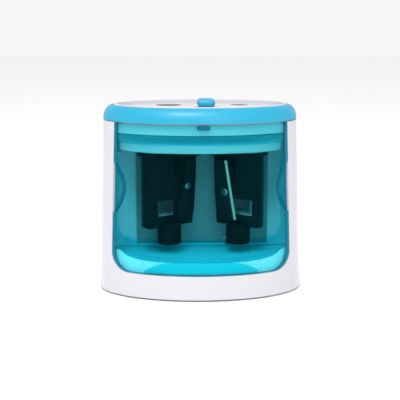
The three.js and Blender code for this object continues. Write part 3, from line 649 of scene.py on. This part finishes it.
# ---- case ----------------------------------------------------------------------------------------
def window_outline(half, bottom, corner, top):
    """A round-cornered window's outline, from its right top corner round to its left one."""
    right = arc(half - corner, bottom + corner, corner, 0, -90, 10)
    left = arc(-half + corner, bottom + corner, corner, 270, 180, 10)
    return [(half, top), *right, *left, (-half, top)]


def build_outer_shell():
    low, top = shell_low.z, shell_high.z
    window = window_outline(WINDOW["half"], WINDOW["bottom"], WINDOW["corner"], top)
    outline = [(-pi, low), (pi, low), (pi, top)]
    outline += [(across(x), z) for x, z in window]
    outline += [(-pi, top)]
    bm = flat_sheet(outline, steps_between(-pi, pi, 160), steps_between(low, top, 6))
    wrap_on_oval(bm)
    thicken_on_oval(bm, WALL)
    piece_from("case_shell", bm, "housing", (WHITE,), ("outer_shell",),
               edge=0.45, smooth=40, segments=3)


def rim_ring(ledge=0.0):
    """The rounded rim round the whole case. A ledge moves its inner edge further in."""
    rise = bezel_high.z - RIM["crown"]
    inset, thick = RIM["inset"], RIM["thick"]
    outside = [(inset - inset * sin(turn), RIM["crown"] + rise * cos(turn))
               for turn in (pi / 2 * i / 14 for i in range(15))]
    inside = [(inset - (inset - thick) * cos(turn),
               RIM["crown"] + (rise - RIM["roof"]) * sin(turn))
              for turn in (pi / 2 * i / 6 for i in range(7))]
    section = outside + [(0, bezel_low.z), (thick, bezel_low.z)] + inside
    return oval_ring([(x + ledge if x > inset - 0.01 else x, z) for x, z in section])


def build_front_bezel():
    bm = rim_ring()
    cut_away(bm, (0, RIM["end"], 0), (0, 1, 0))
    piece_from("blue_bezel", bm, "housing", (BLUE,), ("front_bezel",),
               edge=0.35, smooth=50, segments=3)


def cover_lip():
    """The raised lip round the recessed top."""
    outer, inner = LIP["inset"], LIP["inset"] + LIP["width"]
    top, chamfer = LIP["top"], LIP["chamfer"]
    return oval_ring([
        (outer, PLATE["bottom"]), (inner, PLATE["bottom"]), (inner, top - chamfer),
        (inner - chamfer, top), (outer + chamfer, top), (outer, top - chamfer)])


def cover_skirt():
    """The skirt behind the drawer's top, with the shelf that carries it."""
    outer, inner = SKIRT["inset"], LIP["inset"] + LIP["width"]
    back, shelf, under = outer + SKIRT["width"], SKIRT["shelf"], SKIRT["shelf"] - SKIRT["thick"]
    return oval_ring([
        (outer, SKIRT["bottom"]), (outer, shelf), (inner, shelf), (inner, under),
        (back, under), (back, SKIRT["bottom"])])


def cover_plate():
    """The recessed top, with its two pencil holes and the knob's slot."""
    scale = narrowed(PLATE["top"])
    edge = LIP["inset"] + LIP["width"] - PLATE["overlap"]
    long, short = (HALF_LONG - edge) * scale, (HALF_SHORT - edge) * scale
    outline = [(x * long, y * short) for x, y in ring_loop(0, 0, 1, 160)]
    holes = [ring_loop(cutter["x"], cutter["y"], cutter["hole"]) for cutter in CUTTERS.values()]
    x, y, end = SLOT["x"], SLOT["y"], SLOT["half_y"]
    reach = SLOT["half_x"] - end
    slot = arc(x + reach, y, end, -90, 90, 12) + arc(x - reach, y, end, 90, 270, 12)
    return plate_of([outline, *holes, slot], PLATE["bottom"], PLATE["top"])


def hole_collar(cutter):
    """A low cone round a pencil hole, with a rounded rim and a bore greyed as painted shade."""
    x, y, radius = cutter["x"], cutter["y"], cutter["hole"]
    foot, top, crest = radius + COLLAR["spread"], PLATE["top"], PLATE["top"] + COLLAR["rise"]
    bm = spun([
        (radius, PLATE["bottom"] + PLATE["overlap"]), (radius, crest - 0.2),
        (radius + 0.12, crest - 0.06), (radius + 0.35, crest), (radius + 0.75, crest - 0.06),
        (foot - 0.5, top + 0.22), (foot, top - 0.05), (foot, top - 0.3)], 72, (x, y))
    bore = radius + COLLAR["bore"]
    # Painted shade: the bore faces take the grey.
    mark([face for face in bm.faces
          if all(hypot(vert.co.x - x, vert.co.y - y) < bore for vert in face.verts)], 1)
    return bm


def build_top_cover():
    rear = rim_ring(RIM["rear_ledge"])
    cut_away(rear, (0, RIM["end"] + RIM["seam"], 0), (0, -1, 0))
    collars = [hole_collar(cutter) for cutter in CUTTERS.values()]
    whole = joined(rear, cover_lip(), cover_skirt(), cover_plate(), *collars)
    stand_in("top_cover", whole, WHITE, BORE_PAINTED_SHADE, edge=0.0, smooth=40)


def build_knob():
    low, high = box_mm("selector_knob")
    middle = (low + high) / 2
    base = PLATE["top"] + KNOB["clear"]
    size = (high.x - low.x, high.y - low.y, high.z - base)
    body = rounded_block(size, (middle.x, middle.y, (high.z + base) / 2), KNOB["round"], 6)
    ridge = (RIDGE["width"], size[1] * 0.5, RIDGE["height"])
    ridges = [rounded_block(ridge, (middle.x + x, middle.y, high.z - RIDGE["sunk"]),
                            RIDGE["round"], 2) for x in RIDGE["places"]]
    radius, top = KNOB["stem"], base + KNOB["overlap"]
    stem = spun([(0, low.z), (radius - 0.2, low.z), (radius, low.z + 0.2), (radius, top),
                 (0, top)], 32, (middle.x, middle.y))
    stand_in("selector_knob", joined(body, stem, *ridges), BLUE, edge=0.0, smooth=40)


# ---- drawer --------------------------------------------------------------------------------------
def grip_edge(along):
    """The lens-shaped finger grip's border, from its lower tip at -1 to its upper tip at 1."""
    return DRAWER["half"] - GRIP["reach"] * (1 - along ** 2), GRIP["z"] + GRIP["half"] * along


def drawer_outline():
    """The drawer's front outline, with a lens-shaped notch for a grip in each side."""
    half, bottom, top = DRAWER["half"], DRAWER["bottom"], DRAWER["top"]
    right = [grip_edge(along) for along in one_to_minus_one(24)]
    left = [(-x, z) for x, z in reversed(right)]
    corners = window_outline(half, bottom, WINDOW["corner"], top)[1:-1]
    return [(half, top), *right, *corners, *left, (-half, top)]


def drawer_front():
    """The curved front wall, whose faces across its wall are darkened as painted shade."""
    edge = across(DRAWER["half"])
    bm = flat_sheet([(across(x), z) for x, z in drawer_outline()],
                    steps_between(-edge, edge, 72),
                    steps_between(DRAWER["bottom"], DRAWER["top"], 18))
    wrap_on_oval(bm)
    thicken_on_oval(bm, WALL)
    # Painted shade: the faces across the wall take the darker skin.
    for face in bm.faces:
        insets = [inset_of(vert.co) for vert in face.verts]
        if max(insets) - min(insets) > WALL / 2:
            face.material_index = 2
    return bm


def bowed_outline(half, bottom, corner):
    """The section of the floor and both sides, from the right side's top to the left one's."""
    floor = [half * sin(pi / 2 * share) for share in one_to_minus_one(48)]
    return [(half, DRAWER["sides"]), *((x, trough(x, half, bottom, corner)) for x in floor),
            (-half, DRAWER["sides"])]


def drawer_bucket():
    """The drawer's floor and sides, behind its front wall."""
    half, side, corner = DRAWER["half"], DRAWER["side"], DRAWER["corner"]
    back, rows = DRAWER["back"], 10
    outer = bowed_outline(half, DRAWER["under"], corner)
    inner = bowed_outline(half - side, DRAWER["floor"], corner - side)
    section = [(x, back, z) for x, z in outer + inner[::-1]]
    bm = drawn_out(section, Vector((0, -1, 0)), rows)
    inset = WALL + DRAWER["clear"]
    long, short = HALF_LONG - inset, HALF_SHORT - inset
    for vert in bm.verts:
        share, scale = (back - vert.co.y) / rows, narrowed(vert.co.z)
        front = -short * sqrt(max(0.0, 1 - (vert.co.x / long) ** 2))
        vert.co.y = (back + (front - back) * share) * scale
        vert.co.x *= scale
    return bm


def drawer_back_lip():
    """The low lip along the back of the drawer's floor."""
    half = (DRAWER["half"] - BACK_LIP["short"]) * narrowed(BACK_LIP["top"])
    low, top = DRAWER["under"] + BACK_LIP["overlap"], BACK_LIP["top"]
    bm = rounded_block((2 * half, BACK_LIP["thick"], top - low),
                       (0, DRAWER["back"] - BACK_LIP["inset"], (top + low) / 2),
                       BACK_LIP["round"])
    for x in steps_between(-half, half, 24):
        bisect(bm, (x, 0, 0), (1, 0, 0))
    for vert in bm.verts:
        vert.co.z += bow(vert.co.x)
    return bm


def latch_nub():
    """The small raised thumb catch at the top of the drawer's front."""
    y = -HALF_SHORT * narrowed(NUB["foot"]) - NUB["proud"]
    centre = (NUB["x"], y, DRAWER["top"] - NUB["below"])
    return rounded_block(NUB["size"], centre, NUB["round"], 4)


def build_drawer():
    bucket, nub = joined(drawer_bucket(), drawer_back_lip()), latch_nub()
    # The floor and sides take the brightened skin of painted glow.
    mark(bucket.faces, 1)
    # The nub takes the darkened skin of painted shade.
    mark(nub.faces, 2)
    piece_from("teal_drawer", joined(drawer_front(), bucket, nub), "drawer",
               (TEAL, TEAL_FLOOR_PAINTED_GLOW, TEAL_EDGE_PAINTED_SHADE), ("drawer",), edge=0.3, smooth=55)


def inner_strip(name, outline, thick, finish):
    """A raised strip moulded on the inside of the drawer's front."""
    angles = [angle for angle, z in outline]
    bm = flat_sheet(outline, steps_between(min(angles), max(angles), 48))
    wrap_on_oval(bm, WALL + STRIP_GAP)
    thicken_on_oval(bm, thick)
    piece_from(name, bm, "drawer", (finish,), smooth=50)


def build_drawer_rib():
    edge, low, high = across(DRAWER["half"] - RIB["short"]), RIB["low"], RIB["high"]
    outline = [(-edge, low), (edge, low), (edge, high), (-edge, high)]
    inner_strip("drawer_rib", outline, RIB["thick"], TEAL_RIB_PAINTED_SHADE)


def build_drawer_sill():
    """The thicker crescent at the bottom of the drawer's front, whose bright skin is partly the
    thicker plastic's tint and partly painted glow.
    """
    half = SILL["half"]
    outline = [(-across(half), SILL["low"]), (across(half), SILL["low"])]
    outline += [(across(half * share), SILL["high"] - SILL["drop"] * share ** 4)
                for share in one_to_minus_one(40)]
    inner_strip("drawer_sill", outline, SILL["thick"], TEAL_SILL_PAINTED_GLOW)


def build_grip(side, hand):
    """A sunk lens-shaped finger grip with upright ribs, which follow its curved border."""
    bm = bmesh.new()
    bmesh.ops.create_grid(bm, x_segments=30, y_segments=44, size=1)
    for vert in bm.verts:
        share, along = (vert.co.x + 1) / 2, vert.co.y * GRIP["tip"]
        border, z = grip_edge(along)
        x = border + GRIP["gap"] + (DRAWER["half"] - border) * share
        fade = 1 - along ** 4
        rib = max(0.0, sin(pi * (2 * GRIP_RIB["count"] * share - 0.5))) ** 2 * fade
        inset = GRIP["depth"] - GRIP_RIB["height"] * rib
        vert.co = on_oval(hand * across(min(x, DRAWER["half"])), z, inset)
    bmesh.ops.remove_doubles(bm, verts=bm.verts, dist=0.01)
    thicken_on_oval(bm, WALL - GRIP["depth"])
    piece_from(f"finger_grip_{side}", bm, "drawer", (TEAL_GRIP,), smooth=60)


# ---- inner frame ---------------------------------------------------------------------------------
def build_apron():
    low, high = box_mm("apron")
    thick, steps = APRON["thick"], 96
    section = [(0, thick, low.z), (0, 0, low.z), (0, 0, high.z), (0, thick, high.z)]
    bm = drawn_out(section, Vector((1, 0, 0)), steps)
    for vert in bm.verts:
        angle, inset = (vert.co.x / steps - 0.5) * APRON["sweep"], vert.co.y
        vert.co.x = (high.x - inset) * sin(angle)
        vert.co.y = (low.y + inset) * cos(angle)
    stand_in("apron", bm, APRON_PAINTED_SHADE, edge=0.3, smooth=50)


def build_chamber_wall():
    """The wall behind the cutters: white, with a sunk panel in its front over the motor, whose grey
    is painted shade.
    """
    bm = copied("chamber_wall")
    for x in (SHADE_PANEL["left"], SHADE_PANEL["right"]):
        bisect(bm, (x, 0, 0), (1, 0, 0))
    for z in (SHADE_PANEL["bottom"], SHADE_PANEL["top"]):
        bisect(bm, (0, 0, z), (0, 0, 1))
    front = box_mm("chamber_wall")[0].y

    def in_shade_panel(face):
        middle = face.calc_center_median()
        return (abs(middle.y - front) < 0.05 and SHADE_PANEL["left"] < middle.x < SHADE_PANEL["right"]
                and SHADE_PANEL["bottom"] < middle.z < SHADE_PANEL["top"])

    panel = [face for face in bm.faces if in_shade_panel(face)]
    bmesh.ops.inset_region(bm, faces=panel, thickness=SHADE_PANEL["border"], depth=-SHADE_PANEL["sunk"],
                           use_even_offset=True)
    # Painted shade: the panel faces take the grey.
    mark(panel, 1)
    stand_in("chamber_wall", bm, INNER_WHITE_PAINTED_LIGHT, CHAMBER_PAINTED_SHADE, edge=0.12, smooth=40)


def build_tray():
    """The battery tray, with a crest on its front wall that follows the drawer's risen floor."""
    front, top = HALF_LONG - CREST["front"], CREST["tray_top"]
    reach = asin((DRAWER["half"] - DRAWER["side"]) / front)
    outline = [(-reach, top - CREST["foot"]), (reach, top - CREST["foot"])]
    for share in one_to_minus_one(72):
        under = trough(front * sin(reach * share), DRAWER["half"], top - CREST["under"],
                       DRAWER["corner"])
        outline.append((reach * share, min(under, top + CREST["rise"])))
    crest = flat_sheet(outline, steps_between(-reach, reach, 48))
    wrap_on_oval(crest, CREST["front"] + CREST["gap"])
    thicken_on_oval(crest, CREST["thick"])
    stand_in("battery_tray", joined(copied("battery_tray"), crest), TRAY_WHITE_PAINTED_LIGHT)


# ---- cutters -------------------------------------------------------------------------------------
def on_flat(cutter):
    """The place of a cutter's sloping flat: X outward, Y across, and Z up the slope."""
    low, high = cutter["flat"]
    slope = atan2(high - low, CARRIER["top"] - CARRIER["bottom"])
    return (Matrix.Translation((cutter["x"], cutter["y"], 0))
            @ Matrix.Rotation(radians(cutter["facing"]), 4, "Z")
            @ Matrix.Translation((low, 0, CARRIER["bottom"]))
            @ Matrix.Rotation(slope, 4, "Y"))


def build_carrier(node):
    """A black carrier whose slot faces get a pale grey of painted light."""
    bm = copied(node)
    low, high = SLIT["bottom"] - SLIT["margin"], SLIT["top"] + SLIT["margin"]
    # Painted light: the slot faces take the pale grey.
    mark([face for face in bm.faces if all(low < vert.co.z < high for vert in face.verts)], 1)
    stand_in(node, bm, BLACK, SLIT_PAINTED_LIGHT, edge=0.2, smooth=30)


def build_blade(side):
    """A blade whose face is darkened as a painted reflection, with a bright ground edge, cut off to
    its carrier's round.
    """
    cutter = CUTTERS[side]
    hand, edge = cutter["hand"], cutter["screw"] - BLADE["past"]
    middle = (BLADE["lift"] + BLADE["thick"] / 2, hand * BLADE["width"] / 2, BLADE["length"] / 2)
    bm = block((BLADE["thick"], BLADE["width"], BLADE["length"]), middle)

    def to_be_ground(vert):
        return ((vert.co.x > middle[0]) == cutter["ground_outside"]
                and hand * (vert.co.y - middle[1]) < 0)

    cutting = [item for item in bm.edges if all(to_be_ground(vert) for vert in item.verts)]
    ground = bmesh.ops.bevel(bm, geom=cutting, offset=BLADE["bevel"], segments=1, affect="EDGES",
                             profile=0.5, material=-1)
    mark(ground["faces"], 1)
    leaning = (Matrix.Translation((0, hand * edge, BLADE["low"]))
               @ Matrix.Rotation(-hand * radians(BLADE["tilt"]), 4, "X"))
    bmesh.ops.transform(bm, matrix=on_flat(cutter) @ leaning, verts=bm.verts)
    axis = Vector((cutter["x"], cutter["y"], 0))
    for turn in range(20, 120, 10):
        angle = radians(cutter["facing"] + hand * turn)
        outward = Vector((cos(angle), sin(angle), 0))
        cut_away(bm, axis + outward * (cutter["radius"] - BLADE["inside"]), outward)
    piece_from(f"blade_{side}_ground", bm, f"{side}_cutter", (BLADE_PAINTED_REFLECTION, BLADE_STEEL),
               (f"blade_{side}",), edge=0.08, smooth=25)


def build_blade_screw(side):
    cutter, screw = CUTTERS[side], BLADE_SCREW
    bm = cross_screw(screw["radius"], screw["head"], screw["shank"], screw["length"])
    lift = BLADE["lift"] + BLADE["thick"] + screw["clear"]
    seat = Vector((lift, cutter["hand"] * cutter["screw"], cutter["z"] - CARRIER["bottom"]))
    place = on_flat(cutter) @ Matrix.Translation(seat) @ Matrix.Rotation(pi / 2, 4, "Y")
    turned = Matrix.Rotation(radians(screw["turn"]), 4, "Z")
    bmesh.ops.transform(bm, matrix=place @ turned, verts=bm.verts)
    stand_in(f"blade_screw_{side}", bm, SCREW_STEEL_PAINTED_REFLECTION, edge=0.06, smooth=30)


def build_cutters():
    for side in CUTTERS:
        build_carrier(f"cutter_carrier_{side}")
        build_blade(side)
        build_blade_screw(side)
        refined(f"cutter_gear_{side}", ACETAL, 0.12, 30)
        refined(f"retaining_ring_{side}", STEEL, 0.1, 30)
        refined(f"cutter_bearing_{side}", BRASS, 0.15, 30)


# ---- screws and hidden parts ---------------------------------------------------------------------
def build_case_screws():
    """The screws of the base, guide plate, gear deck and motor, with their heads down or up."""
    head = CASE_SCREW["head"]
    for node in frame["nodes"]:
        if "screw" in node and "blade" not in node:
            low, high = box_mm(node)
            shank = CASE_SCREW["motor_shank" if "motor" in node else "shank"]
            bm = cross_screw((high.x - low.x) / 2, head, shank, high.z - low.z - head)
            at = Vector(((low.x + high.x) / 2, (low.y + high.y) / 2, high.z - head))
            turn = Matrix.Identity(4)
            if node.startswith(("base", "guide")):
                at.z, turn = low.z + head, Matrix.Rotation(pi, 4, "X")
            bmesh.ops.transform(bm, matrix=Matrix.Translation(at) @ turn, verts=bm.verts)
            stand_in(node, bm, STEEL, edge=0.06, smooth=30)


def numbered(name, count):
    return [f"{name}_{i}" for i in range(1, count + 1)]


def build_hidden_parts():
    """The nodes whose CAD shape is kept: each gets its finish and its soft edges."""
    for nodes, finish, edge, smooth in (
        (("gear_deck", "guide_plate"), INNER_WHITE_PAINTED_LIGHT, 0.25, 32),
        (("base_plate", "battery_door"), WHITE, 0.25, 32),
        (("shutter", "safety_switch", "motor_end_cap"), BLACK, 0.25, 32),
        (("motor_bracket", "switch_plunger"), GREY, 0.25, 32),
        (("motor_can", "motor_shaft"), MOTOR_STEEL, 0.25, 32),
        (("idler_axle", *numbered("contact_plate", 4)), STEEL, 0.1, 32),
        (numbered("spring", 3), STEEL, 0.0, 60),
        (("motor_pinion",), BRASS, 0.08, 32),
        (("compound_gear",), ACETAL, 0.12, 32),
        (numbered("foot", 4), RUBBER, 0.35, 32),
        (numbered("cell", 3), SLEEVE, 0.5, 32),
    ):
        for node in nodes:
            refined(node, finish, edge, smooth)


# ---- studio and camera ---------------------------------------------------------------------------
def build_floor():
    mesh = bpy.data.meshes.new("floor")
    bm = bmesh.new()
    bmesh.ops.create_grid(bm, x_segments=4, y_segments=4, size=3)
    bm.to_mesh(mesh)
    bm.free()
    floor = bpy.data.objects.new("floor", mesh)
    bpy.context.scene.collection.objects.link(floor)
    s = Shader("pale floor")
    mesh.materials.append(s.done(s.surface({
        "Base Color": (0.94, 0.94, 0.94, 1), "Roughness": 0.55 + s.noise(3) * 0.05})))


def build_studio():
    scene = bpy.context.scene
    scene.view_settings.view_transform = "Standard"
    # Light has to pass up to eight clear walls, so it needs more passes than the default.
    scene.cycles.transparent_max_bounces = 32
    world = bpy.data.worlds.new("studio")
    world.use_nodes = True
    background = world.node_tree.nodes["Background"].inputs
    background["Color"].default_value = (1, 1, 1, 1)
    background["Strength"].default_value = 0.93
    scene.world = world
    for name, place, size, power in SOFTBOXES:
        light = bpy.data.lights.new(name, "AREA")
        light.shape = "RECTANGLE"
        light.size, light.size_y = size
        light.energy = power
        lamp = bpy.data.objects.new(name, light)
        lamp.location = place
        towards = Vector(AIM) - Vector(place)
        lamp.rotation_euler = towards.to_track_quat("-Z", "Y").to_euler()
        scene.collection.objects.link(lamp)


def build_camera():
    data = bpy.data.cameras.new("camera")
    data.lens = CAMERA["lens"]
    data.sensor_width = 36
    data.clip_start = 0.01
    camera = bpy.data.objects.new("camera", data)
    azimuth, reach = radians(CAMERA["azimuth"]), CAMERA["distance"]
    camera.location = (reach * sin(azimuth), -reach * cos(azimuth), CAMERA["height"])
    camera.rotation_euler = (radians(90 - CAMERA["pitch"]), 0, azimuth)
    bpy.context.scene.collection.objects.link(camera)
    bpy.context.scene.camera = camera


build_camera()
build_floor()
build_studio()
build_outer_shell()
build_front_bezel()
build_top_cover()
build_knob()
build_drawer()
build_drawer_rib()
build_drawer_sill()
build_grip("left", -1)
build_grip("right", 1)
build_apron()
build_chamber_wall()
build_tray()
build_cutters()
build_case_screws()
build_hidden_parts()
